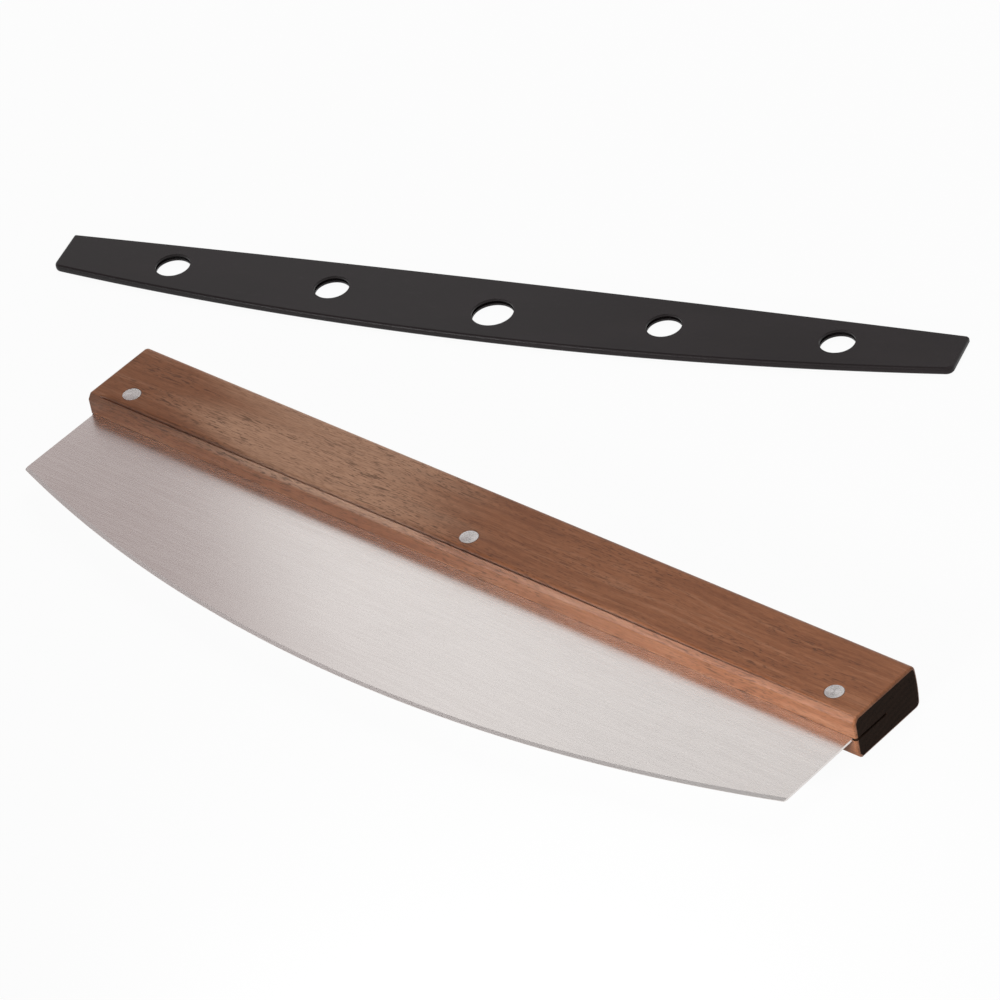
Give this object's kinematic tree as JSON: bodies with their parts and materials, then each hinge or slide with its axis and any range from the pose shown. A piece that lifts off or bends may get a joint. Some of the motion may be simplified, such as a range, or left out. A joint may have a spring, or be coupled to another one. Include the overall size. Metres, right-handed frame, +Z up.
{
  "type": "rocking pizza knife with blade guard",
  "caption": "Long curved cutting blade in a straight hardwood handle, rocked across a pizza to slice it, with its plastic edge guard taken off.",
  "frame": {"origin": "on the table under the centre of the handle's lower face", "axes": "+X along the handle, +Y away from the cutting edge towards the palm side, +Z up from the table"},
  "size_m": [0.4382, 0.2599, 0.0175],
  "materials": {
    "handle_wood": "oiled reddish brown hardwood with fine dark pores",
    "blade_steel": "satin stainless sheet",
    "rivet_steel": "turned stainless rivet heads",
    "guard_plastic": "black moulded plastic"
  },
  "bodies": {
    "knife": {"handle": "handle_wood", "blade": "blade_steel", "rivet_sleeve_left": "rivet_steel", "rivet_pin_left": "rivet_steel", "rivet_sleeve_middle": "rivet_steel", "rivet_pin_middle": "rivet_steel", "rivet_sleeve_right": "rivet_steel", "rivet_pin_right": "rivet_steel"},
    "guard": {"blade_guard": "guard_plastic"}
  },
  "joints": [
    {"name": "guard_lift", "type": "slide", "parent": "knife", "child": "guard", "axis": [0, 0, 1], "range_m": [0, 0.12]}
  ]
}
